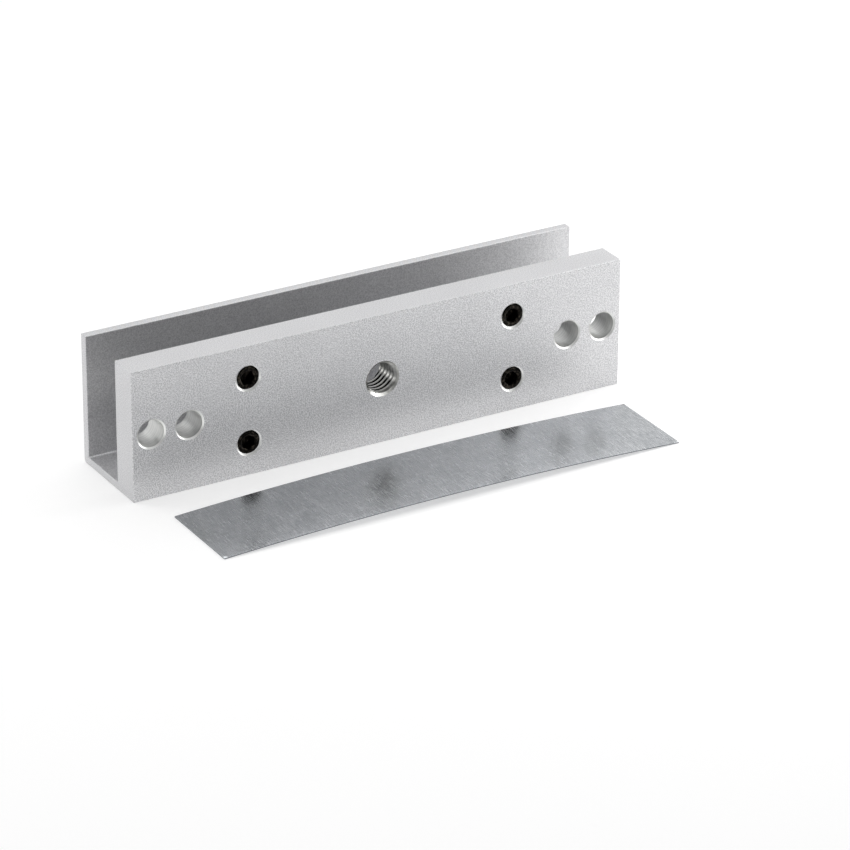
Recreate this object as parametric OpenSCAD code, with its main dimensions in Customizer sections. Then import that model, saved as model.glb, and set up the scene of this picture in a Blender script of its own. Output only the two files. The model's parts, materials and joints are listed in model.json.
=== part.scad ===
// Glass door bracket for the armature plate of a magnetic lock.
// A U channel slips over the edge of a glass door leaf. Four grub screws in its thick front wall
// clamp the glass through a thin steel strip, which lies loose in front of the channel.
// X runs along the channel, the front wall faces -Y, and the channel stands on its web at z = 0.

/* [Channel] */
// Length of the channel
channel_l = 120; // [119:0.5:180]
// Height of both walls
wall_h = 30; // [26:0.5:50]
// Thickness of the front wall, which carries the armature plate
front_t = 7.4; // [7:0.1:12]
// Thickness of the back wall
back_t = 2.1; // [1.5:0.1:6]
// Thickness of the web that joins the two walls
web_t = 1.8; // [1.5:0.1:4]
// Clear width of the slot that takes the glass
slot_w = 13.6; // [8:0.1:20]
// Edge break left by deburring
edge_break = 0.2; // [0.1:0.05:0.4]
// Outer radius of the bottom corner behind
heel_r = 1; // [0.5:0.1:1.4]
// Radius of the two inside corners of the slot
slot_r = 0.4; // [0.2:0.1:0.8]

/* [Front wall holes] */
// Diameter of the plain holes for the guide pins of the armature plate
pin_hole_d = 6.2; // [5:0.1:6.5]
// Distance between the inner two pin holes
inner_pin_pitch = 93; // [86:0.5:95]
// Distance between the outer two pin holes
outer_pin_pitch = 111; // [110:0.5:112.5]
// Thread size of the centre hole for the armature bolt
bolt_d = 8; // [6, 8, 10]
// Depth of the chamfer round the mouth of a plain hole
hole_chamfer = 0.3; // [0.1:0.05:0.4]

/* [Grub screws] */
// Thread size of the grub screws
screw_d = 6; // [5, 6]
// Length of a grub screw
screw_l = 6; // [5:0.5:6.5]
// Depth of a screw's face behind the front wall's face
screw_recess = 0.2; // [0.1:0.1:0.5]
// Distance between the left and right screws
screw_pitch_x = 65; // [40:0.5:76]
// Distance between the upper and lower screws
screw_pitch_z = 15; // [9:0.5:16]

/* [Pressure strip] */
// Length of the strip from end to end, along its underside
strip_l = 110.8; // [80:0.2:120]
// Width of the strip
strip_w = 22.1; // [12:0.1:28]
// Thickness of the sheet
strip_t = 0.3; // [0.2:0.05:0.8]
// Height of the bow under the middle of the strip
strip_bow = 1.5; // [0.5:0.1:4]
// Gap between the front wall and the strip as it lies
strip_gap = 10; // [9:0.5:40]
// Sideways offset of the strip as it lies
strip_offset = -0.2; // [-5:0.1:5]

/* [Hidden] */
$fn = 96;

// Reach of a cutter past the face it cuts
over = 1;
// Depth of a screw's crests under its thread size
crest_cut = 0.1;
// Running clearance between a screw's crest and the wall of its hole
screw_clearance = 0.05;
// Flank angle of a metric thread, from the plane across the axis
flank = 30;

depth = front_t + slot_w + back_t;
front_y = -depth / 2;
slot_y = front_y + front_t;
hole_z = wall_h / 2;
screw_r = screw_d / 2 - crest_cut;
socket_af = screw_d / 2;
socket_depth = screw_l * 0.45;
strip_r = (pow(strip_l / 2, 2) + pow(strip_bow, 2)) / (2 * strip_bow);
strip_angle = 2 * asin(strip_l / 2 / strip_r);

// Coarse pitch of a metric thread
function coarse_pitch(d) = lookup(d, [[5, 0.8], [6, 1], [8, 1.25], [10, 1.5]]);

// Height of a metric thread's flanks
function thread_depth(d) = 0.5 * coarse_pitch(d);

// Chamfer of leg edge_break along an edge of the profile
module break_edge(y, z)
  translate([y, z]) rotate(45) square(edge_break * sqrt(2), center = true);

// Rounding of the bottom corner behind
module heel_cut()
  translate([depth / 2, 0]) difference() {
    translate([-heel_r, -over]) square([heel_r + over, heel_r + over]);
    translate([-heel_r, heel_r]) circle(heel_r);
  }

// Slot between the walls, open above and round in its two inside corners
module slot_cut()
  translate([slot_y, web_t]) {
    translate([0, slot_r]) square([slot_w, wall_h]);
    translate([slot_r, 0]) square([slot_w - 2 * slot_r, wall_h]);
    for (y = [slot_r, slot_w - slot_r]) translate([y, slot_r]) circle(slot_r);
  }

// Section across the channel: y to the right, z up
module channel_profile()
  difference() {
    translate([front_y, 0]) square([depth, wall_h]);
    slot_cut();
    break_edge(front_y, 0);
    for (y = [front_y, slot_y, slot_y + slot_w, depth / 2]) break_edge(y, wall_h);
    heel_cut();
  }

// Half section of one V groove of a thread, from its mouth to its root
module thread_groove(mouth_r, root_r, pitch) {
  root_half = pitch / 16;
  open_r = mouth_r + sign(mouth_r - root_r) * pitch / 8;
  open_half = root_half + abs(root_r - open_r) * tan(flank);
  polygon([[open_r, -open_half], [root_r, -root_half], [root_r, root_half], [open_r, open_half]]);
}

// Half section of the chamfer at a hole's mouth, which lies at height 0
module mouth_chamfer(r, leg)
  polygon([[0, -over], [r + leg + over, -over], [r, leg], [0, leg]]);

// Half section of a hole through the front wall, chamfered at its front mouth
module hole_profile(r, leg) {
  translate([0, -over]) square([r, front_t + 2 * over]);
  mouth_chamfer(r, leg);
}

// Cutter for a hole through the front wall, chamfered at both mouths
module wall_hole(r, leg)
  rotate_extrude() {
    hole_profile(r, leg);
    translate([0, front_t]) mirror([0, 1]) mouth_chamfer(r, leg);
  }

// Cutter for the tapped centre hole, whose thread runs out square behind.
// Each turn of the thread is drawn as a ring.
module tapped_hole(d) {
  pitch = coarse_pitch(d);
  crest_r = d / 2 - thread_depth(d);
  turns = floor(front_t / pitch) + 1;
  rotate_extrude() hole_profile(crest_r, thread_depth(d) + edge_break / 2);
  rotate_extrude()
    for (i = [0 : turns - 1])
      translate([0, front_t / 2 + (i - (turns - 1) / 2) * pitch]) thread_groove(crest_r, d / 2, pitch);
}

// Places a cutter or a screw on the front wall's face, with its axis into the wall
module on_front(x, z)
  translate([x, front_y, z]) rotate([-90, 0, 0]) children();

module u_channel()
  color([0.74, 0.74, 0.76])
  difference() {
    rotate([90, 0, 90]) linear_extrude(channel_l, center = true) channel_profile();
    on_front(0, hole_z) tapped_hole(bolt_d);
    for (side = [-1, 1]) {
      for (pitch = [inner_pin_pitch, outer_pin_pitch])
        on_front(side * pitch / 2, hole_z) wall_hole(pin_hole_d / 2, hole_chamfer);
      for (level = [-1, 1])
        on_front(side * screw_pitch_x / 2, hole_z + level * screw_pitch_z / 2)
          wall_hole(screw_r + screw_clearance, edge_break / 2);
    }
  }

// Half section of a grub screw with a chamfered face, thread rings and a cup point
module screw_profile() {
  pitch = coarse_pitch(screw_d);
  lead = thread_depth(screw_d) + edge_break;
  cup_r = screw_r - lead;
  cup_depth = cup_r / 2;
  turns = floor((screw_l - 2 * lead) / pitch);
  difference() {
    polygon([
      [0, 0], [screw_r - lead, 0], [screw_r, lead], [screw_r, screw_l - lead],
      [cup_r, screw_l], [0, screw_l - cup_depth],
    ]);
    for (i = [0 : turns])
      translate([0, screw_l / 2 + (i - turns / 2) * pitch])
        thread_groove(screw_r, screw_r - thread_depth(screw_d), pitch);
  }
}

// Grub screw with a hexagon socket; side is -1 at the left, level is -1 below
module grub_screw(side, level)
  color([0.06, 0.06, 0.06])
  on_front(side * screw_pitch_x / 2, hole_z + level * screw_pitch_z / 2)
  translate([0, 0, screw_recess])
  difference() {
    rotate_extrude() screw_profile();
    translate([0, 0, -over])
      cylinder(d = socket_af / cos(30), h = socket_depth + over, $fn = 6);
  }

// The strip is an arc of a wide ring, with its ends on the ground
module pressure_strip()
  color([0.6, 0.62, 0.64])
  translate([strip_offset, front_y - strip_gap, strip_bow - strip_r])
  rotate([90, strip_angle / 2 - 90, 0])
  rotate_extrude(angle = strip_angle, $fn = 720)
    translate([strip_r, 0]) square([strip_t, strip_w]);

u_channel();
grub_screw(-1, 1);  // grub_screw_upper_left
grub_screw(-1, -1);  // grub_screw_lower_left
grub_screw(1, 1);  // grub_screw_upper_right
grub_screw(1, -1);  // grub_screw_lower_right
pressure_strip();
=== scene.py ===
"""Looks of a glass door bracket for a magnetic lock.

A satin aluminium U channel with drilled and tapped holes, four black grub screws in its front
wall, and a thin bowed steel strip that lies in front of it. Sizes are in millimetres, meshes and
node inputs in metres. X runs along the channel, the front wall faces -Y and Z is up.
"""

import json
import logging
import math
from collections.abc import Iterable, Mapping, Sequence
from dataclasses import dataclass
from enum import Enum
from typing import Any

import bmesh
import bpy
from mathutils import Matrix, Vector

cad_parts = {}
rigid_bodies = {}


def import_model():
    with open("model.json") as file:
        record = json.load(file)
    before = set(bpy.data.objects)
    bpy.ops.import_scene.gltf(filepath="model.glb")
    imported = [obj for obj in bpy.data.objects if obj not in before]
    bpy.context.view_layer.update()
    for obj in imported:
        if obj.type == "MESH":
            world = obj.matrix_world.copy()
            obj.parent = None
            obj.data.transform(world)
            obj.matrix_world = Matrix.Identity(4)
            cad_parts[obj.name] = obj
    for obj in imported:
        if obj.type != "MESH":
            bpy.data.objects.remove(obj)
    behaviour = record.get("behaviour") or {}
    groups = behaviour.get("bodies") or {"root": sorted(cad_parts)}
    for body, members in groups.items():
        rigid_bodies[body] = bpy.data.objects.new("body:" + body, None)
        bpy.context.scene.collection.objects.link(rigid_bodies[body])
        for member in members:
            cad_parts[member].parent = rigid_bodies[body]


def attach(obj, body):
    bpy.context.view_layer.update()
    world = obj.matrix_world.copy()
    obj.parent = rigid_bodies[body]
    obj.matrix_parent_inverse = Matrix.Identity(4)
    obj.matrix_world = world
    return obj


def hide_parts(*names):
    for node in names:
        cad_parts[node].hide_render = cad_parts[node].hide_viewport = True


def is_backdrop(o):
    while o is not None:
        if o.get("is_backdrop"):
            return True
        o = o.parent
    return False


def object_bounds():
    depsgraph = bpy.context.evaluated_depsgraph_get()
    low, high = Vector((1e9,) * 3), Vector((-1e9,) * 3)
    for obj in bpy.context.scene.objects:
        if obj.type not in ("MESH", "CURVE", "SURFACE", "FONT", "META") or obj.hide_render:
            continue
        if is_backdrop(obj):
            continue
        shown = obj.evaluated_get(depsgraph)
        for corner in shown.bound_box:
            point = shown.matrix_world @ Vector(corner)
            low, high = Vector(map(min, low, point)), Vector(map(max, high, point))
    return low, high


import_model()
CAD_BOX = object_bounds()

LOG = logging.getLogger("bracket")
MM = 0.001
IMAGE_PX = 850
SENSOR_MM = 36.0
WELD = 2e-6     # metres between points that count as one
COLUMNS = 72    # faces round a hole or a thread
CREASE = 28.0   # degrees past which an edge stays sharp

MATH = "ShaderNodeMath"
FLOAT = "NodeSocketFloat"
COUNT = "NodeSocketInt"
MATERIAL = "NodeSocketMaterial"

Tree = bpy.types.NodeTree
Node = bpy.types.Node
Socket = bpy.types.NodeSocket
Pair = tuple[float, float]


def linear(colour: str) -> tuple[float, float, float, float]:
    """Turns an sRGB hex colour into linear RGBA.

    Args:
        colour: Colour such as "#D0D0D4".

    Returns:
        Red, green, blue and alpha, from 0 to 1.
    """
    channels = (int(colour[i:i + 2], 16) / 255 for i in (1, 3, 5))
    rgb = (c / 12.92 if c <= 0.04045 else ((c + 0.055) / 1.055) ** 2.4 for c in channels)
    return (*rgb, 1.0)


def per_metre(feature: float) -> float:
    """Gives a texture's scale for a feature of this size in millimetres."""
    return 1.0 / (feature * MM)


def add_node(
    tree: Tree,
    kind: str,
    inputs: Mapping[int | str, Any] | None = None,
    **settings: Any,
) -> Node:
    """Adds a node to a shader or geometry tree.

    Args:
        tree: Tree that gets the node.
        kind: Identifier of the node's type.
        inputs: Input socket, by name or number, to its value, or to the socket or node that
            feeds it.
        settings: Properties of the node.

    Returns:
        The new node.
    """
    node = tree.nodes.new(kind)
    for name, value in settings.items():
        setattr(node, name, value)
    for key, value in (inputs or {}).items():
        if isinstance(value, Node):
            value = value.outputs[0]
        if isinstance(value, Socket):
            tree.links.new(value, node.inputs[key])
        else:
            node.inputs[key].default_value = value
    return node


def aim(place: Vector, target: Vector) -> Matrix:
    """Turns an object at a place so that its -Z axis points at a target.

    Args:
        place: Where the object stands.
        target: What it looks at.

    Returns:
        The object's matrix.
    """
    turn = (target - place).to_track_quat("-Z", "Y")
    return Matrix.Translation(place) @ turn.to_matrix().to_4x4()


class Mouth(Enum):
    """How the radius of a threaded surface changes with depth at its end.

    A hole flares towards its mouth, at 45 degrees or shallower. A screw tapers towards its end.
    """

    FLARED = -1.0
    SHALLOW = -1.5
    TAPERED = 1.0


class FarEnd(Enum):
    """How much steeper a thread's far end is than its near one: as chamfered, or all but square."""

    CHAMFERED = 1.0
    SQUARE = 12.0


class ScrewPlace(Enum):
    """Places of the grub screws.

    Each has a name, a side (-1 is left), a level (-1 is low) and its socket's turn in columns.
    """

    UPPER_LEFT = ("upper_left", -1, 1, 2)
    LOWER_LEFT = ("lower_left", -1, -1, 7)
    UPPER_RIGHT = ("upper_right", 1, 1, 5)
    LOWER_RIGHT = ("lower_right", 1, -1, 10)

    def __init__(self, label: str, side: int, level: int, turn: int) -> None:
        """Keeps the place's name, side, level and the turn of its socket."""
        self.label = label
        self.side = side
        self.level = level
        self.turn = turn


@dataclass(frozen=True)
class MetalFinish:
    """A metal surface whose pattern runs from a deep to a pale colour, and from glossy to dull.

    Subclasses say what the pattern is. Its values lie mostly in SPAN, as those of plain noise do.
    """

    SPAN = (0.3, 0.7)

    name: str
    pale: str
    deep: str
    roughness: Pair
    relief: float

    def pattern(self, tree: Tree, spot: Socket) -> tuple[Node, ...]:
        """Adds the nodes of the pattern.

        Args:
            tree: The material's tree.
            spot: Object coordinates, in metres.

        Returns:
            Nodes that give the tone, the dullness and the relief, each mostly in SPAN.
        """
        raise NotImplementedError

    def material(self) -> bpy.types.Material:
        """Makes the finish's material."""
        material = bpy.data.materials.new(self.name)
        material.use_nodes = True
        tree = material.node_tree
        spot = add_node(tree, "ShaderNodeTexCoord").outputs["Object"]
        tone, dull, height = self.pattern(tree, spot)
        low, high = self.SPAN
        share = add_node(tree, "ShaderNodeMapRange", {0: tone, 1: low, 2: high})
        colour = add_node(tree, "ShaderNodeMix", {
            0: share, 6: linear(self.deep), 7: linear(self.pale)}, data_type="RGBA")
        rough = add_node(tree, "ShaderNodeMapRange", {
            0: dull, 1: low, 2: high, 3: self.roughness[0], 4: self.roughness[1]})
        bump = add_node(tree, "ShaderNodeBump", {"Height": height, "Distance": self.relief * MM})
        shader = tree.nodes["Principled BSDF"]
        shader.inputs["Metallic"].default_value = 1.0
        tree.links.new(colour.outputs[2], shader.inputs["Base Color"])
        tree.links.new(rough.outputs[0], shader.inputs["Roughness"])
        tree.links.new(bump.outputs[0], shader.inputs["Normal"])
        return material


@dataclass(frozen=True)
class BlastedAluminium(MetalFinish):
    """Extruded aluminium, bead blasted and clear anodised.

    The eye sees a soft pale grey that mirrors its surroundings only as broad light and dark, with a
    fine even sparkle from the blasting and no grain direction. The front face is blasted most.
    """

    name: str = "blasted_anodised_aluminium"
    pale: str = "#EEEEEF"
    deep: str = "#BABABC"
    roughness: Pair = (0.45, 0.56)
    relief: float = 0.015
    pit: float = 0.24               # coarser than the real pits, so that the sparkle still shows
    front: Pair = (-11.5, -11.3)    # places along Y between which the pits fade
    fade: float = 0.5
    cloud: float = 18.0
    cloud_share: float = 0.1

    def pattern(self, tree: Tree, spot: Socket) -> tuple[Node, ...]:
        """Adds fine pits, deepest on the front face, over faint clouds."""
        pits = add_node(tree, "ShaderNodeTexNoise", {
            "Vector": spot, "Scale": per_metre(self.pit), "Detail": 0.0})
        place = add_node(tree, "ShaderNodeSeparateXYZ", {0: spot}).outputs["Y"]
        depth = add_node(tree, "ShaderNodeMapRange", {
            0: place, 1: self.front[0] * MM, 2: self.front[1] * MM, 3: 1.0, 4: self.fade})
        level = sum(self.SPAN) / 2
        pits = add_node(tree, "ShaderNodeMix", {0: depth, 2: level, 3: pits})
        clouds = add_node(tree, "ShaderNodeTexNoise", {
            "Vector": spot, "Scale": per_metre(self.cloud), "Detail": 2.0})
        tone = add_node(tree, "ShaderNodeMix", {0: self.cloud_share, 2: pits, 3: clouds})
        return tone, pits, pits


@dataclass(frozen=True)
class DrilledAluminium(MetalFinish):
    """Bare aluminium as a drill leaves it.

    The eye sees a bright wall with faint rings round the drill's axis, which spread the light along
    the hole into a soft sheen.
    """

    name: str = "drilled_aluminium"
    pale: str = "#EEEEEC"
    deep: str = "#CFD1CF"
    roughness: Pair = (0.36, 0.5)
    relief: float = 0.006
    feed: float = 0.3           # coarser than a real feed mark, so that the rings still show

    def pattern(self, tree: Tree, spot: Socket) -> tuple[Node, ...]:
        """Adds rings along Y, the axis of every hole."""
        axis = add_node(tree, "ShaderNodeSeparateXYZ", {0: spot}).outputs["Y"]
        rings = add_node(tree, "ShaderNodeTexNoise", {
            "W": axis, "Scale": per_metre(self.feed), "Detail": 3.0}, noise_dimensions="1D")
        return rings, rings, rings


@dataclass(frozen=True)
class CountersunkAluminium(DrilledAluminium):
    """Bare aluminium as a sharp countersink leaves it.

    The eye sees a bright narrow bevel that turns white where it mirrors a lamp.
    """

    name: str = "countersunk_aluminium"
    pale: str = "#FAFAF8"
    deep: str = "#EAEBE9"
    roughness: Pair = (0.34, 0.44)


@dataclass(frozen=True)
class TappedAluminium(MetalFinish):
    """Bare aluminium as a tap leaves it, with shade painted into the thread.

    The eye sees bright turns with painted shade as black lines between them below, painted shade as
    a dull grey film above, and painted shade on the right of the mouth.
    """

    name: str = "tapped_aluminium_painted_shade"
    pale: str = "#F5F5F1"
    # nearly black: the colour of the painted shade in the thread
    deep: str = "#0C0B0A"
    roughness: Pair = (0.4, 0.25)
    relief: float = 0.006
    axis_level: float = 15.0
    root: Pair = (3.39, 3.56)       # radii between which the painted shade in the roots sets in
    low_shade: Pair = (13.7, 12.9)       # levels between which the painted shade in the roots sets in, going down
    upper_shade: Pair = (13.8, 14.8)       # levels between which painted shade on the upper wall sets in, going up
    upper_shade_share: float = 0.66
    inside: Pair = (-10.9, -9.9)    # places along Y between which the thread sets in
    mouth_shade: Pair = (-0.5, 1.5)        # places along X between which painted shade sets in on the mouth's right side
    mouth_shade_share: float = 0.5
    tones: Pair = (0.75, 0.25)      # of lit metal and of painted shade
    smear: float = 0.7
    smear_share: float = 0.2

    def pattern(self, tree: Tree, spot: Socket) -> tuple[Node, ...]:
        """Adds painted shade in the thread's roots low down, on the wall above, and on the right of
        its mouth.
        """
        smears = add_node(tree, "ShaderNodeTexNoise", {
            "Vector": spot, "Scale": per_metre(self.smear), "Detail": 2.0})
        across = add_node(tree, "ShaderNodeVectorMath", {
            0: spot, 1: (1.0, 0.0, 1.0), 2: (0.0, 0.0, -self.axis_level * MM)},
            operation="MULTIPLY_ADD")
        radius = add_node(tree, "ShaderNodeVectorMath", {0: across}, operation="LENGTH")
        place = add_node(tree, "ShaderNodeSeparateXYZ", {0: spot}).outputs
        root, low_shade, upper_shade, inside, mouth_shade = (
            add_node(tree, "ShaderNodeMapRange", {0: value, 1: start * MM, 2: end * MM, 4: most})
            for value, (start, end), most in (
                (radius.outputs["Value"], self.root, 1.0), (place["Z"], self.low_shade, 1.0),
                (place["Z"], self.upper_shade, self.upper_shade_share), (place["Y"], self.inside, 1.0),
                (place["X"], self.mouth_shade, self.mouth_shade_share)))
        # painted shade: the thread's roots go dark low down
        painted_shade = add_node(tree, MATH, {0: root, 1: low_shade}, operation="MULTIPLY")
        # painted shade: the upper wall of the thread greys over
        painted_shade = add_node(tree, MATH, {0: painted_shade, 1: upper_shade}, operation="MAXIMUM")
        # painted shade on the mouth's right side, where the thread has not yet set in
        painted_shade = add_node(tree, "ShaderNodeMix", {0: inside, 2: mouth_shade, 3: painted_shade})
        shaded_tone = add_node(tree, "ShaderNodeMapRange", {
            0: painted_shade, 3: self.tones[0], 4: self.tones[1]})
        tone = add_node(tree, "ShaderNodeMix", {0: self.smear_share, 2: shaded_tone, 3: smears})
        return tone, tone, smears


@dataclass(frozen=True)
class BlackOxideSteel(MetalFinish):
    """Alloy steel with a black oxide coat and a trace of oil.

    The eye sees a nearly black metal with a low sheen, and a brown tinge where the coat is thin.
    """

    name: str = "black_oxide_steel"
    pale: str = "#504A42"
    deep: str = "#131210"
    roughness: Pair = (0.3, 0.5)
    relief: float = 0.01
    patch: float = 0.6
    worn: Pair = (0.5, 0.68)    # values of the noise between which wear sets in

    def pattern(self, tree: Tree, spot: Socket) -> tuple[Node, ...]:
        """Adds small worn patches."""
        patches = add_node(tree, "ShaderNodeTexNoise", {
            "Vector": spot, "Scale": per_metre(self.patch), "Detail": 4.0, "Roughness": 0.6})
        worn = add_node(tree, "ShaderNodeMapRange", {
            0: patches, 1: self.worn[0], 2: self.worn[1], 3: self.SPAN[0], 4: self.SPAN[1]})
        return worn, patches, patches


@dataclass(frozen=True)
class GalvanisedSheet(MetalFinish):
    """Thin rolled steel with a zinc coat, rubbed along and across.

    The eye sees a cool grey sheet with a fine weave of short lines, a faint cloudiness from the
    zinc, and soft reflections of what stands beside it.
    """

    name: str = "galvanised_steel_sheet"
    pale: str = "#ECEEF1"
    deep: str = "#BEC2C6"
    roughness: Pair = (0.21, 0.28)
    relief: float = 0.0015
    line: float = 0.24          # coarser than the real rubbing lines, so that they still show
    line_length: float = 2.4
    along_share: float = 0.4
    cloud: float = 7.0
    cloud_share: float = 0.2

    def pattern(self, tree: Tree, spot: Socket) -> tuple[Node, ...]:
        """Adds lines along Y and along X over soft clouds."""
        fine, long = per_metre(self.line), per_metre(self.line_length)
        across, along = (
            add_node(tree, "ShaderNodeTexNoise", {
                "Vector": add_node(tree, "ShaderNodeMapping", {"Vector": spot, "Scale": scale}),
                "Scale": 1.0, "Detail": 1.0})
            for scale in ((fine, long, long), (long, fine, long)))
        weave = add_node(tree, "ShaderNodeMix", {0: self.along_share, 2: across, 3: along})
        clouds = add_node(tree, "ShaderNodeTexNoise", {
            "Vector": spot, "Scale": per_metre(self.cloud), "Detail": 3.0})
        tone = add_node(tree, "ShaderNodeMix", {0: self.cloud_share, 2: weave, 3: clouds})
        return tone, across, weave


@dataclass(frozen=True)
class ShearedSteel(MetalFinish):
    """The cut edge of a steel sheet, half sheared and half torn.

    The eye sees a thin dark line, rougher and greyer than the sheet's faces.
    """

    name: str = "sheared_steel_edge"
    pale: str = "#8B8E92"
    deep: str = "#5C5F63"
    roughness: Pair = (0.35, 0.6)
    relief: float = 0.02
    tear: float = 0.25

    def pattern(self, tree: Tree, spot: Socket) -> tuple[Node, ...]:
        """Adds short tears."""
        tears = add_node(tree, "ShaderNodeTexNoise", {
            "Vector": spot, "Scale": per_metre(self.tear), "Detail": 3.0})
        return tears, tears, tears


@dataclass(frozen=True)
class PaleTable:
    """Matt white table top, which reads as plain white and keeps soft shadows."""

    name: str = "pale_table"
    colour: str = "#CCCCCC"
    glow: float = 0.43

    def material(self) -> bpy.types.Material:
        """Makes the table's material: matt white, lifted where an eye or a mirror sees it."""
        material = bpy.data.materials.new(self.name)
        material.use_nodes = True
        tree = material.node_tree
        tree.nodes.remove(tree.nodes["Principled BSDF"])
        path = add_node(tree, "ShaderNodeLightPath").outputs
        seen = add_node(tree, MATH, {
            0: path["Is Camera Ray"], 1: path["Is Glossy Ray"]}, operation="MAXIMUM")
        seen = add_node(tree, MATH, {0: seen, 1: path["Is Transmission Ray"]}, operation="MAXIMUM")
        lift = add_node(tree, MATH, {0: seen, 1: self.glow}, operation="MULTIPLY")
        matt = add_node(tree, "ShaderNodeBsdfDiffuse", {"Color": linear(self.colour)})
        glow = add_node(tree, "ShaderNodeEmission", {"Strength": lift})
        both = add_node(tree, "ShaderNodeAddShader", {0: matt, 1: glow})
        tree.links.new(both.outputs[0], tree.nodes["Material Output"].inputs["Surface"])
        return material


class NodeShape:
    """A geometry node tree with named inputs that makes one kind of shape."""

    def __init__(self, name: str, inputs: Mapping[str, str]) -> None:
        """Makes the tree and its sockets.

        Args:
            name: Name of the tree.
            inputs: Input's name to its socket type.
        """
        self.tree = bpy.data.node_groups.new(name, "GeometryNodeTree")
        face = self.tree.interface
        self.ids = {
            label: face.new_socket(name=label, in_out="INPUT", socket_type=kind).identifier
            for label, kind in inputs.items()
        }
        face.new_socket(name="Mesh", in_out="OUTPUT", socket_type="NodeSocketGeometry")
        self.given = add_node(self.tree, "NodeGroupInput").outputs
        self.spot = add_node(self.tree, "ShaderNodeSeparateXYZ", {
            0: add_node(self.tree, "GeometryNodeInputPosition")}).outputs

    def close(self, shape: Socket, trim: Node | None = None) -> None:
        """Ends the tree: welds the shape, makes it plain mesh and gives it the inputs' materials.

        Args:
            shape: Socket that carries the finished shape.
            trim: Node that picks the faces that get the trim's material.
        """
        weld = add_node(self.tree, "GeometryNodeMergeByDistance", {
            "Geometry": shape, "Distance": WELD})
        real = add_node(self.tree, "GeometryNodeRealizeInstances", {0: weld})
        dressed = add_node(self.tree, "GeometryNodeSetMaterial", {
            "Geometry": real, "Material": self.given["Material"]})
        if trim:
            dressed = add_node(self.tree, "GeometryNodeSetMaterial", {
                "Geometry": dressed, "Selection": trim, "Material": self.given["Trim Material"]})
        add_node(self.tree, "NodeGroupOutput", {0: dressed})

    def polar(self, arm: Node, angle: Node) -> tuple[Node, Node]:
        """Turns an arm and its angle into two coordinates.

        Args:
            arm: Node that gives the arm's length.
            angle: Node that gives its angle.

        Returns:
            Nodes that give the parts along the angle's zero line and across it.
        """
        along, across = (
            add_node(self.tree, MATH, {
                0: arm, 1: add_node(self.tree, MATH, {0: angle}, operation=part)},
                operation="MULTIPLY")
            for part in ("COSINE", "SINE"))
        return along, across

    def roll(self, grid: Node, radius: Node, depth: Node, angle: Node) -> Socket:
        """Rolls a flat grid up round the Y axis.

        Args:
            grid: Node that gives the grid.
            radius: Node that gives each point's distance from the axis.
            depth: Node that gives its place along the axis.
            angle: Node that gives its angle, from +X towards +Z.

        Returns:
            Socket that carries the rolled wall.
        """
        x, z = self.polar(radius, angle)
        rolled = add_node(self.tree, "ShaderNodeCombineXYZ", {0: x, 1: depth, 2: z})
        return add_node(self.tree, "GeometryNodeSetPosition", {
            "Geometry": grid, "Position": rolled}).outputs[0]

    def facing(self, axis: str, operation: str, limit: float) -> Node:
        """Picks faces by how far they face along an axis, either way.

        Args:
            axis: X, Y or Z.
            operation: GREATER_THAN or LESS_THAN.
            limit: The part of the normal along the axis that is compared.

        Returns:
            Node that gives true for these faces.
        """
        normal = add_node(self.tree, "ShaderNodeSeparateXYZ", {
            0: add_node(self.tree, "GeometryNodeInputNormal")})
        size = add_node(self.tree, MATH, {0: normal.outputs[axis]}, operation="ABSOLUTE")
        return add_node(self.tree, MATH, {0: size, 1: limit}, operation=operation)

    def repeat(self, shape: Socket) -> Socket:
        """Sets the shape on an upright grid of places, which the four inputs of the grid give.

        Args:
            shape: Socket that carries one shape.

        Returns:
            Socket that carries all of them as plain mesh.
        """
        places = add_node(self.tree, "GeometryNodeMeshGrid", {
            "Size X": self.given["Spacing X"], "Size Y": self.given["Spacing Z"],
            "Vertices X": self.given["Count X"], "Vertices Y": self.given["Count Z"]})
        upright = add_node(self.tree, "GeometryNodeTransform", {
            "Geometry": places, "Rotation": (math.pi / 2, 0.0, 0.0)})
        copies = add_node(self.tree, "GeometryNodeInstanceOnPoints", {
            "Points": upright, "Instance": shape})
        return add_node(self.tree, "GeometryNodeRealizeInstances", {0: copies}).outputs[0]

    def mesh(self, name: str, values: Mapping[str, Any]) -> bpy.types.Mesh:
        """Runs the tree.

        Args:
            name: Name of the mesh.
            values: Input's name to its value.

        Returns:
            The result as a plain mesh.
        """
        holder = bpy.data.objects.new(name, bpy.data.meshes.new(name))
        bpy.context.collection.objects.link(holder)
        modifier = holder.modifiers.new(name, "NODES")
        modifier.node_group = self.tree
        for label, value in values.items():
            modifier[self.ids[label]] = value
        graph = bpy.context.evaluated_depsgraph_get()
        made = bpy.data.meshes.new_from_object(holder.evaluated_get(graph), depsgraph=graph)
        bpy.data.objects.remove(holder)
        return made


GRID_INPUTS = {"Count X": COUNT, "Count Z": COUNT, "Spacing X": FLOAT, "Spacing Z": FLOAT}


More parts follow.
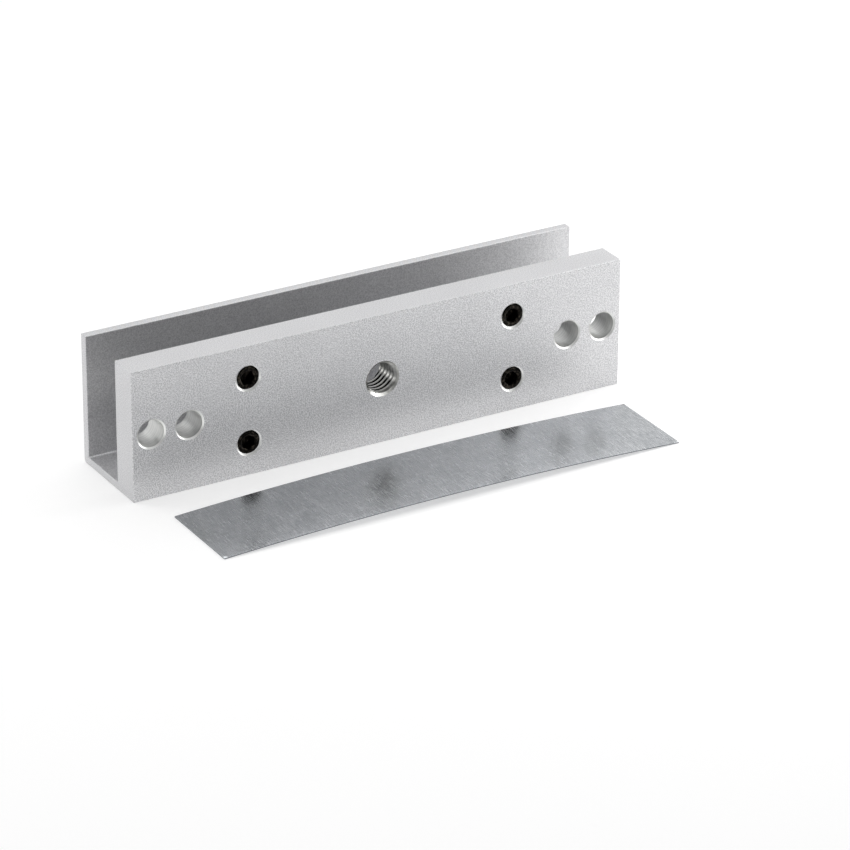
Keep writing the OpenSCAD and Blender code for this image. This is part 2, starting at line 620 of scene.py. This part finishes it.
class ThreadedWall(NodeShape):
    """Tree for the helical wall of tapped holes, or of a screw, along +Y from its mouth at y = 0.

    A grid of rows and columns is rolled up. Each row climbs one pitch per turn, so that a thread's
    flats and flanks run along rows and stay crisp, and its last column meets the first one a
    pitch on.
    """

    ROWS = 16
    NARROW_HALF = 1 / 16
    WIDE_START = 6 / 16

    def __init__(self) -> None:
        """Builds the tree."""
        super().__init__("threaded_wall", {
            "Narrow Radius": FLOAT, "Wide Radius": FLOAT, "Pitch": FLOAT, "Length": FLOAT,
            "Mouth Radius": FLOAT, "Mouth Slope": FLOAT, "Far Steepness": FLOAT, "Phase": FLOAT,
            "Turns": COUNT, "Material": MATERIAL, **GRID_INPUTS})
        tree, given = self.tree, self.given
        rows = add_node(tree, MATH, {
            0: given["Turns"], 1: self.ROWS, 2: 1.0}, operation="MULTIPLY_ADD")
        grid = add_node(tree, "GeometryNodeMeshGrid", {
            "Size X": 1.0, "Size Y": 1.0, "Vertices X": COLUMNS + 1, "Vertices Y": rows})
        across = add_node(tree, MATH, {0: self.spot["X"], 1: 0.5}, operation="ADD")
        along = add_node(tree, MATH, {0: self.spot["Y"], 1: 0.5}, operation="ADD")
        turn = add_node(tree, MATH, {
            0: along, 1: given["Turns"], 2: -1.0}, operation="MULTIPLY_ADD")
        start = add_node(tree, MATH, {0: turn, 1: given["Pitch"]}, operation="MULTIPLY")
        start = add_node(tree, MATH, {0: start, 1: given["Phase"]}, operation="SUBTRACT")
        climb = add_node(tree, MATH, {
            0: across, 1: given["Pitch"], 2: start}, operation="MULTIPLY_ADD")
        depth = add_node(tree, "ShaderNodeClamp", {0: climb, 1: 0.0, 2: given["Length"]})
        share = add_node(tree, MATH, {0: turn}, operation="FRACT")
        share = add_node(tree, MATH, {0: share, 1: 0.5}, operation="SUBTRACT")
        share = add_node(tree, MATH, {0: share}, operation="ABSOLUTE")
        thread = add_node(tree, "ShaderNodeMapRange", {
            0: share, 1: self.NARROW_HALF, 2: self.WIDE_START,
            3: given["Narrow Radius"], 4: given["Wide Radius"]})
        far = add_node(tree, MATH, {0: given["Length"], 1: depth}, operation="SUBTRACT")
        far = add_node(tree, MATH, {0: far, 1: given["Far Steepness"]}, operation="MULTIPLY")
        inset = add_node(tree, MATH, {0: depth, 1: far}, operation="MINIMUM")
        cone = add_node(tree, MATH, {
            0: inset, 1: given["Mouth Slope"], 2: given["Mouth Radius"]}, operation="MULTIPLY_ADD")
        tapers = add_node(tree, MATH, {0: given["Mouth Slope"], 1: 0.0}, operation="GREATER_THAN")
        radius = add_node(tree, "GeometryNodeSwitch", {
            0: tapers,
            1: add_node(tree, MATH, {0: thread, 1: cone}, operation="MAXIMUM"),
            2: add_node(tree, MATH, {0: thread, 1: cone}, operation="MINIMUM")}, input_type="FLOAT")
        angle = add_node(tree, MATH, {0: across, 1: -math.tau}, operation="MULTIPLY")
        self.close(self.repeat(self.roll(grid, radius, depth, angle)))


class PlainHole(NodeShape):
    """Tree for the walls of drilled holes along +Y from y = 0, chamfered at both mouths.

    A grid of four rows, a unit apart, is rolled up. Counted from the middle, MOUTH_ROW is a mouth
    and WALL_ROW is where its chamfer ends.
    """

    MOUTH_ROW = 1.5
    WALL_ROW = 0.5
    CHAMFER_FACING = 0.3

    def __init__(self) -> None:
        """Builds the tree."""
        super().__init__("plain_hole", {
            "Radius": FLOAT, "Chamfer Width": FLOAT, "Chamfer Depth": FLOAT, "Length": FLOAT,
            "Material": MATERIAL, "Trim Material": MATERIAL, **GRID_INPUTS})
        tree, given = self.tree, self.given
        grid = add_node(tree, "GeometryNodeMeshGrid", {
            "Size X": 1.0, "Size Y": 2 * self.MOUTH_ROW,
            "Vertices X": COLUMNS + 1, "Vertices Y": 4})
        row = add_node(tree, MATH, {0: self.spot["Y"]}, operation="ABSOLUTE")
        wide = add_node(tree, MATH, {0: row, 1: self.WALL_ROW}, operation="SUBTRACT")
        flare = add_node(tree, MATH, {0: wide, 1: given["Chamfer Width"]}, operation="MULTIPLY")
        deep = add_node(tree, MATH, {0: self.MOUTH_ROW, 1: row}, operation="SUBTRACT")
        inset = add_node(tree, MATH, {0: deep, 1: given["Chamfer Depth"]}, operation="MULTIPLY")
        depth = add_node(tree, "GeometryNodeSwitch", {
            0: add_node(tree, MATH, {0: self.spot["Y"], 1: 0.0}, operation="GREATER_THAN"),
            1: inset,
            2: add_node(tree, MATH, {0: given["Length"], 1: inset}, operation="SUBTRACT")},
            input_type="FLOAT")
        radius = add_node(tree, MATH, {0: flare, 1: given["Radius"]}, operation="ADD")
        angle = add_node(tree, MATH, {0: self.spot["X"], 1: math.tau}, operation="MULTIPLY")
        walls = self.repeat(self.roll(grid, radius, depth, angle))
        self.close(walls, self.facing("Y", "GREATER_THAN", self.CHAMFER_FACING))


class BowedSheet(NodeShape):
    """Tree for a thin sheet that is bent to a shallow arch along X, with its ends at z = 0."""

    CELLS_X = 110
    CELLS_Y = 22
    EDGE_FACING = 0.5

    def __init__(self) -> None:
        """Builds the tree."""
        super().__init__("bowed_sheet", {
            "Length": FLOAT, "Width": FLOAT, "Thickness": FLOAT, "Bow": FLOAT,
            "Material": MATERIAL, "Trim Material": MATERIAL})
        tree, given = self.tree, self.given
        size = add_node(tree, "ShaderNodeCombineXYZ", {
            0: given["Length"], 1: given["Width"], 2: given["Thickness"]})
        flat = add_node(tree, "GeometryNodeMeshCube", {
            "Size": size, "Vertices X": self.CELLS_X + 1, "Vertices Y": self.CELLS_Y + 1,
            "Vertices Z": 2})
        half = add_node(tree, MATH, {0: given["Length"], 1: 0.5}, operation="MULTIPLY")
        square = add_node(tree, MATH, {0: half, 1: half}, operation="MULTIPLY")
        square = add_node(tree, MATH, {
            0: given["Bow"], 1: given["Bow"], 2: square}, operation="MULTIPLY_ADD")
        twice = add_node(tree, MATH, {0: given["Bow"], 1: 2.0}, operation="MULTIPLY")
        radius = add_node(tree, MATH, {0: square, 1: twice}, operation="DIVIDE")
        spread = add_node(tree, MATH, {
            0: add_node(tree, MATH, {0: half, 1: radius}, operation="DIVIDE")}, operation="ARCSINE")
        share = add_node(tree, MATH, {0: self.spot["X"], 1: half}, operation="DIVIDE")
        angle = add_node(tree, MATH, {0: share, 1: spread}, operation="MULTIPLY")
        level = add_node(tree, MATH, {
            0: given["Thickness"], 1: 0.5, 2: self.spot["Z"]}, operation="MULTIPLY_ADD")
        arm = add_node(tree, MATH, {0: radius, 1: level}, operation="ADD")
        drop = add_node(tree, MATH, {0: given["Bow"], 1: radius}, operation="SUBTRACT")
        rise, x = self.polar(arm, angle)
        z = add_node(tree, MATH, {0: rise, 1: drop}, operation="ADD")
        bent = add_node(tree, "ShaderNodeCombineXYZ", {0: x, 1: self.spot["Y"], 2: z})
        sheet = add_node(tree, "GeometryNodeSetPosition", {"Geometry": flat, "Position": bent})
        self.close(sheet.outputs[0], self.facing("Z", "LESS_THAN", self.EDGE_FACING))


def join_mesh(bm: bmesh.types.BMesh, mesh: bpy.types.Mesh,
              materials: Sequence[bpy.types.Material]) -> None:
    """Moves a mesh into a shape.

    Args:
        bm: The shape.
        mesh: What joins it. It is removed.
        materials: The shape's materials, which number its faces.
    """
    for face in mesh.polygons:
        face.material_index = materials.index(mesh.materials[face.material_index])
    bm.from_mesh(mesh)
    bpy.data.meshes.remove(mesh)


def round_over(bm: bmesh.types.BMesh, edges: list[bmesh.types.BMEdge],
               radius: float, steps: int) -> None:
    """Rounds edges of a shape.

    Args:
        bm: The shape, in metres.
        edges: The edges.
        radius: How far the rounding reaches on each face, in millimetres.
        steps: Number of faces across it.
    """
    bmesh.ops.bevel(bm, geom=edges, offset=radius * MM, offset_type="OFFSET",
                    segments=steps, profile=0.5, affect="EDGES")


def finish_mesh(bm: bmesh.types.BMesh, name: str,
                materials: Sequence[bpy.types.Material]) -> bpy.types.Mesh:
    """Turns a shape into a shaded mesh: flat faces stay flat, rounded edges run smoothly into them.

    Args:
        bm: The shape, in metres. It is freed.
        name: Name of the mesh.
        materials: Materials, in the order of the faces' numbers.

    Returns:
        The mesh.
    """
    bmesh.ops.recalc_face_normals(bm, faces=bm.faces[:])
    mesh = bpy.data.meshes.new(name)
    bm.to_mesh(mesh)
    bm.free()
    for material in materials:
        mesh.materials.append(material)
    mesh.shade_smooth()
    mesh.set_sharp_from_angle(angle=math.radians(CREASE))
    return mesh


def show_piece(mesh: bpy.types.Mesh, body: str, node: str) -> bpy.types.Object:
    """Puts a finished mesh in the scene in place of a CAD node.

    Args:
        mesh: Mesh in the row frame, which also names the piece.
        body: CAD body that carries it.
        node: CAD node that it stands for.

    Returns:
        The piece.
    """
    piece = bpy.data.objects.new(mesh.name, mesh)
    bpy.context.collection.objects.link(piece)
    even = piece.modifiers.new("even_faces", "WEIGHTED_NORMAL")
    even.keep_sharp = True
    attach(piece, body)
    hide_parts(node)
    LOG.info("%s: %d faces on body %s", piece.name, len(mesh.polygons), body)
    return piece


@dataclass
class UChannel:
    """The aluminium channel: a thick front wall with nine holes, a thin back wall and a web."""

    outside: bpy.types.Material
    drilled: bpy.types.Material
    countersunk: bpy.types.Material
    tapped: bpy.types.Material
    threads: ThreadedWall
    holes: PlainHole
    length: float = 120.0
    height: float = 30.0
    front: float = 7.4
    back: float = 2.1
    web: float = 1.8
    slot: float = 13.6
    edge: float = 0.2
    edge_steps: int = 4
    edge_angle: float = 40.0    # degrees past which an outer edge is broken
    heel: float = 1.0
    heel_steps: int = 8
    fillet: float = 0.4
    fillet_steps: int = 5
    hole_level: float = 15.0
    pin_radius: float = 3.1
    pin_chamfer: Pair = (0.35, 0.28)
    pin_pitches: Pair = (93.0, 111.0)
    bolt_crest: float = 3.375
    bolt_root: float = 4.0
    bolt_pitch: float = 1.25
    bolt_mouth: float = 4.1
    screw_crest: float = 2.5
    screw_root: float = 2.95
    screw_pitch: float = 1.0
    screw_mouth: float = 3.05
    screw_spacing: Pair = (65.0, 15.0)

    @property
    def front_y(self) -> float:
        """Where the front wall's face lies."""
        return -(self.front + self.slot + self.back) / 2

    @property
    def slot_y(self) -> float:
        """Where the front wall ends and the slot begins."""
        return self.front_y + self.front

    def build(self) -> bpy.types.Mesh:
        """Makes the channel's mesh.

        Returns:
            The mesh, in the row frame.
        """
        bm = bmesh.new()
        self._extrude(bm)
        self._round_edges(bm)
        planes = (self.front_y * MM, self.slot_y * MM)
        for y in planes:
            flat = [f for f in bm.faces if all(abs(v.co.y - y) < WELD for v in f.verts)]
            bmesh.ops.delete(bm, geom=flat, context="FACES_ONLY")
        materials = (self.outside, self.drilled, self.countersunk, self.tapped)
        for wall in self._hole_walls():
            wall.transform(Matrix.Translation(Vector((0, self.front_y, self.hole_level)) * MM))
            join_mesh(bm, wall, materials)
        for y in planes:
            rims = [e for e in bm.edges
                    if e.is_boundary and all(abs(v.co.y - y) < WELD for v in e.verts)]
            bmesh.ops.triangle_fill(bm, edges=rims, use_beauty=True)
        return finish_mesh(bm, "channel", materials)

    def _extrude(self, bm: bmesh.types.BMesh) -> None:
        """Adds the sharp U section, drawn from end to end."""
        back_y = -self.front_y
        inner_y = back_y - self.back
        section = (
            (self.front_y, 0), (back_y, 0), (back_y, self.height), (inner_y, self.height),
            (inner_y, self.web), (self.slot_y, self.web), (self.slot_y, self.height),
            (self.front_y, self.height))
        ends = [[bm.verts.new((x * MM, y * MM, z * MM)) for y, z in section]
                for x in (-self.length / 2, self.length / 2)]
        bm.faces.new(ends[0][::-1])
        bm.faces.new(ends[1])
        for i in range(len(section)):
            j = (i + 1) % len(section)
            bm.faces.new((ends[0][i], ends[0][j], ends[1][j], ends[1][i]))
        bmesh.ops.recalc_face_normals(bm, faces=bm.faces[:])

    def _round_edges(self, bm: bmesh.types.BMesh) -> None:
        """Rounds the slot's corners and the heel, then breaks every outer edge."""
        heel = [e for e in bm.edges if all(
            abs(v.co.y + self.front_y * MM) < WELD and v.co.z < WELD for v in e.verts)]
        corners = [e for e in bm.edges if not e.is_convex]
        round_over(bm, corners, self.fillet, self.fillet_steps)
        round_over(bm, heel, self.heel, self.heel_steps)
        limit = math.radians(self.edge_angle)
        sharp = [e for e in bm.edges if e.is_convex and e.calc_face_angle(0.0) > limit]
        round_over(bm, sharp, self.edge, self.edge_steps)

    def _hole_walls(self) -> Iterable[bpy.types.Mesh]:
        """Makes the walls of the pin holes, of the bolt's thread and of the screws' threads."""
        length = self.front * MM
        chamfer_width, chamfer_depth = (leg * MM for leg in self.pin_chamfer)
        for pitch in self.pin_pitches:
            yield self.holes.mesh("pin_holes", {
                "Radius": self.pin_radius * MM, "Length": length,
                "Chamfer Width": chamfer_width, "Chamfer Depth": chamfer_depth,
                "Material": self.drilled, "Trim Material": self.countersunk,
                "Count X": 2, "Count Z": 1, "Spacing X": pitch * MM})
        yield self.threads.mesh("bolt_thread", {
            "Narrow Radius": self.bolt_root * MM, "Wide Radius": self.bolt_crest * MM,
            "Pitch": self.bolt_pitch * MM, "Length": length, "Mouth Radius": self.bolt_mouth * MM,
            "Mouth Slope": Mouth.FLARED.value, "Far Steepness": FarEnd.SQUARE.value,
            "Turns": math.ceil(self.front / self.bolt_pitch) + 1,
            "Material": self.tapped, "Count X": 1, "Count Z": 1})
        yield self.threads.mesh("screw_threads", {
            "Narrow Radius": self.screw_root * MM, "Wide Radius": self.screw_crest * MM,
            "Pitch": self.screw_pitch * MM, "Length": length, "Mouth Radius": self.screw_mouth * MM,
            "Mouth Slope": Mouth.SHALLOW.value, "Far Steepness": FarEnd.CHAMFERED.value,
            "Turns": math.ceil(self.front / self.screw_pitch) + 1,
            "Material": self.countersunk, "Count X": 2, "Count Z": 2,
            "Spacing X": self.screw_spacing[0] * MM, "Spacing Z": self.screw_spacing[1] * MM})

    def dress(self) -> bpy.types.Object:
        """Builds the channel and shows it in place of its CAD node."""
        return show_piece(self.build(), "channel", "u_channel")


@dataclass
class GrubScrew:
    """One grub screw with a hexagon socket in its face and a cup point."""

    place: ScrewPlace
    finish: bpy.types.Material
    threads: ThreadedWall
    channel: UChannel
    length: float = 6.0
    recess: float = 0.2
    crest: float = 2.9
    root: float = 2.4
    pitch: float = 1.0
    face: float = 2.4
    rim: float = 1.9
    rim_slope: float = 0.58
    socket_flats: float = 3.0
    socket_depth: float = 2.7
    socket_tip: float = 0.6
    cup_depth: float = 1.1

    def build(self) -> bpy.types.Mesh:
        """Makes the screw's mesh.

        Returns:
            The mesh, in the row frame.
        """
        bm = bmesh.new()
        thread = self.threads.mesh("thread", {
            "Narrow Radius": self.crest * MM, "Wide Radius": self.root * MM,
            "Pitch": self.pitch * MM, "Length": self.length * MM, "Mouth Radius": self.face * MM,
            "Mouth Slope": Mouth.TAPERED.value, "Far Steepness": FarEnd.CHAMFERED.value,
            "Phase": self.recess * MM,
            "Turns": math.ceil((self.length + self.recess) / self.pitch) + 1,
            "Material": self.finish, "Count X": 1, "Count Z": 1})
        join_mesh(bm, thread, (self.finish,))
        self._cut_socket(bm)
        self._cut_cup(bm)
        wide, high = self.channel.screw_spacing
        x, z = self.place.side * wide / 2, self.place.level * high / 2
        spot = Vector((x, self.channel.front_y + self.recess, self.channel.hole_level + z)) * MM
        bmesh.ops.translate(bm, verts=bm.verts[:], vec=spot)
        return finish_mesh(bm, f"screw_{self.place.label}", (self.finish,))

    def _rim(self, bm: bmesh.types.BMesh, y: float) -> list[bmesh.types.BMVert]:
        """Finds the open rim at a height, in order round the axis."""
        found = {v for e in bm.edges if e.is_boundary
                 for v in e.verts if abs(v.co.y - y * MM) < WELD}
        return sorted(found, key=lambda v: math.atan2(v.co.z, v.co.x) % math.tau)

    def _loft(self, bm: bmesh.types.BMesh, rim: list[bmesh.types.BMVert],
              stations: Iterable[Iterable[Pair]], tip: float) -> None:
        """Closes a rim with rings and a point on the axis.

        Args:
            bm: The screw so far.
            rim: Its open rim.
            stations: For each ring, the radius and height of each of its points.
            tip: Height of the point on the axis.
        """
        angles = [math.atan2(v.co.z, v.co.x) for v in rim]
        for station in stations:
            ring = [bm.verts.new((r * math.cos(a) * MM, y * MM, r * math.sin(a) * MM))
                    for a, (r, y) in zip(angles, station)]
            for i in range(len(rim)):
                j = (i + 1) % len(rim)
                bm.faces.new((rim[i], rim[j], ring[j], ring[i]))
            rim = ring
        point = bm.verts.new((0, tip * MM, 0))
        for i in range(len(rim)):
            bm.faces.new((rim[i], rim[(i + 1) % len(rim)], point))

    def _cut_socket(self, bm: bmesh.types.BMesh) -> None:
        """Closes the face with a countersunk hexagon socket."""
        rim = self._rim(bm, 0.0)
        step = math.tau / len(rim)
        sixth = math.tau / 6
        flats = [(step * (i + self.place.turn)) % sixth - sixth / 2 for i in range(len(rim))]
        hexagon = [self.socket_flats / 2 / math.cos(a) for a in flats]
        self._loft(bm, rim, (
            [(self.rim, 0.0)] * len(rim),
            [(r, (self.rim - r) * self.rim_slope) for r in hexagon],
            [(r, self.socket_depth) for r in hexagon],
        ), self.socket_depth + self.socket_tip)

    def _cut_cup(self, bm: bmesh.types.BMesh) -> None:
        """Closes the other end with a hollow cone, whose rim bites on the strip."""
        self._loft(bm, self._rim(bm, self.length), (), self.length - self.cup_depth)

    def dress(self) -> bpy.types.Object:
        """Builds the screw and shows it in place of its CAD node."""
        label = self.place.label
        return show_piece(
            self.build(), f"screw_{label}", f"grub_screw_{label}")


@dataclass
class PressureStrip:
    """The loose steel strip, bowed so that only its ends touch the table."""

    face: bpy.types.Material
    cut: bpy.types.Material
    sheet: BowedSheet
    length: float = 110.8
    width: float = 22.1
    thickness: float = 0.3
    bow: float = 1.5
    offset: float = -0.2
    middle_y: float = -32.6
    burr: float = 0.04
    burr_steps: int = 2
    burr_angle: float = 60.0    # degrees past which an edge is a cut one

    def build(self) -> bpy.types.Mesh:
        """Makes the strip's mesh.

        Returns:
            The mesh, in the row frame.
        """
        made = self.sheet.mesh("sheet", {
            "Length": self.length * MM, "Width": self.width * MM, "Thickness": self.thickness * MM,
            "Bow": self.bow * MM, "Material": self.face, "Trim Material": self.cut})
        materials = (self.face, self.cut)
        bm = bmesh.new()
        join_mesh(bm, made, materials)
        bmesh.ops.translate(bm, verts=bm.verts[:], vec=Vector((self.offset, self.middle_y, 0)) * MM)
        limit = math.radians(self.burr_angle)
        sharp = [e for e in bm.edges if e.calc_face_angle(0.0) > limit]
        round_over(bm, sharp, self.burr, self.burr_steps)
        return finish_mesh(bm, "strip", materials)

    def dress(self) -> bpy.types.Object:
        """Builds the strip and shows it in place of its CAD node."""
        return show_piece(self.build(), "strip", "pressure_strip")


@dataclass(frozen=True)
class Softbox:
    """A soft lamp: where it hangs, what it lights, its size and how bright its face is."""

    POWER = 4.0     # of an area lamp, for each unit of radiance and of area

    name: str
    place: tuple[float, float, float]
    size: Pair
    radiance: float
    target: tuple[float, float, float] = (0.0, 0.0, 15.0)

    def hang(self) -> None:
        """Adds the lamp."""
        lamp = bpy.data.lights.new(self.name, "AREA")
        lamp.shape = "RECTANGLE"
        lamp.size, lamp.size_y = (s * MM for s in self.size)
        lamp.energy = self.POWER * self.radiance * lamp.size * lamp.size_y
        holder = bpy.data.objects.new(self.name, lamp)
        holder.matrix_world = aim(Vector(self.place) * MM, Vector(self.target) * MM)
        holder.visible_camera = False
        bpy.context.collection.objects.link(holder)


@dataclass
class Studio:
    """The table, the lamps, the surroundings and the camera."""

    floor: bpy.types.Material
    floor_half: float = 3000.0
    floor_gap: float = 0.02
    surroundings: float = 0.32
    sky: str = "#FFFFFF"
    camera_place: tuple[float, float, float] = (-440.25, -776.53, 424.67)
    azimuth: float = -30.513
    elevation: float = 25.479
    roll: float = 0.372
    focal_px: float = 4550.9
    near_clip: float = 10.0
    lamps: tuple[Softbox, ...] = (
        Softbox("overhead", (0.0, 100.0, 1000.0), (2200.0, 1800.0), 0.7),
        Softbox("back_right", (458.0, 778.0, 430.0), (700.0, 500.0), 0.21),
        Softbox("back_high", (380.0, 660.0, 720.0), (600.0, 400.0), 0.4),
        Softbox("back_left", (-500.0, 800.0, 200.0), (700.0, 300.0), 0.7),
        Softbox("right_far", (700.0, -80.0, 200.0), (800.0, 400.0), 0.35),
        Softbox("right_near", (250.0, 10.0, 80.0), (240.0, 160.0), 2.0, (60.0, 0.0, 15.0)),
        Softbox("right_pool", (115.0, -50.0, 80.0), (50.0, 50.0), 3.0, (110.0, -60.0, 0.0)),
        Softbox("left_pool", (-155.0, 105.0, 172.0), (80.0, 80.0), 2.4, (-120.0, 60.0, 0.0)),
    )

    def build(self) -> None:
        """Sets up the whole studio."""
        self._lay_floor()
        self._light()
        self._point_camera()
        bpy.context.scene.view_settings.view_transform = "Standard"

    def _lay_floor(self) -> None:
        """Lays the table top just under the part."""
        half, low = self.floor_half * MM, -self.floor_gap * MM
        mesh = bpy.data.meshes.new("table")
        mesh.from_pydata(
            [(-half, -half, low), (half, -half, low), (half, half, low), (-half, half, low)],
            [], [(0, 1, 2, 3)])
        mesh.materials.append(self.floor)
        table = bpy.data.objects.new("table", mesh)
        bpy.context.collection.objects.link(table)
        table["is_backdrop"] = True

    def _light(self) -> None:
        """Hangs the lamps and sets the even light of the surroundings."""
        world = bpy.data.worlds.new("surroundings")
        world.use_nodes = True
        background = world.node_tree.nodes["Background"].inputs
        background["Color"].default_value = linear(self.sky)
        background["Strength"].default_value = self.surroundings
        bpy.context.scene.world = world
        for lamp in self.lamps:
            lamp.hang()

    def _point_camera(self) -> None:
        """Sets the camera at the photograph's angle."""
        a, e, r = (math.radians(d) for d in (self.azimuth, self.elevation, self.roll))
        back = Vector((math.sin(a) * math.cos(e), -math.cos(a) * math.cos(e), math.sin(e)))
        right = Vector((0, 0, 1)).cross(back).normalized()
        up = back.cross(right)
        right, up = right * math.cos(r) + up * math.sin(r), up * math.cos(r) - right * math.sin(r)
        camera = bpy.data.cameras.new("camera")
        camera.sensor_width = SENSOR_MM
        camera.lens = self.focal_px / IMAGE_PX * SENSOR_MM
        camera.clip_start = self.near_clip * MM
        holder = bpy.data.objects.new("camera", camera)
        turn = Matrix((right, up, back)).transposed().to_4x4()
        holder.matrix_world = Matrix.Translation(Vector(self.camera_place) * MM) @ turn
        bpy.context.collection.objects.link(holder)
        bpy.context.scene.camera = holder


def write_sizes() -> None:
    """Gathers the CAD model's box and the visual model's box, and writes neither."""
    boxes = {"cad": CAD_BOX, "visual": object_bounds()}
    {name: [list(corner) for corner in box] for name, box in boxes.items()}


def main() -> None:
    """Builds the studio and every piece of the bracket."""
    logging.basicConfig(level=logging.INFO, format="%(name)s: %(message)s")
    Studio(PaleTable().material()).build()
    threads = ThreadedWall()
    aluminium = (finish.material() for finish in (
        BlastedAluminium(), DrilledAluminium(), CountersunkAluminium(), TappedAluminium()))
    channel = UChannel(*aluminium, threads, PlainHole())
    channel.dress()
    black = BlackOxideSteel().material()
    for place in ScrewPlace:
        GrubScrew(place, black, threads, channel).dress()
    PressureStrip(GalvanisedSheet().material(), ShearedSteel().material(), BowedSheet()).dress()
    write_sizes()


if __name__ == "__main__":
    main()
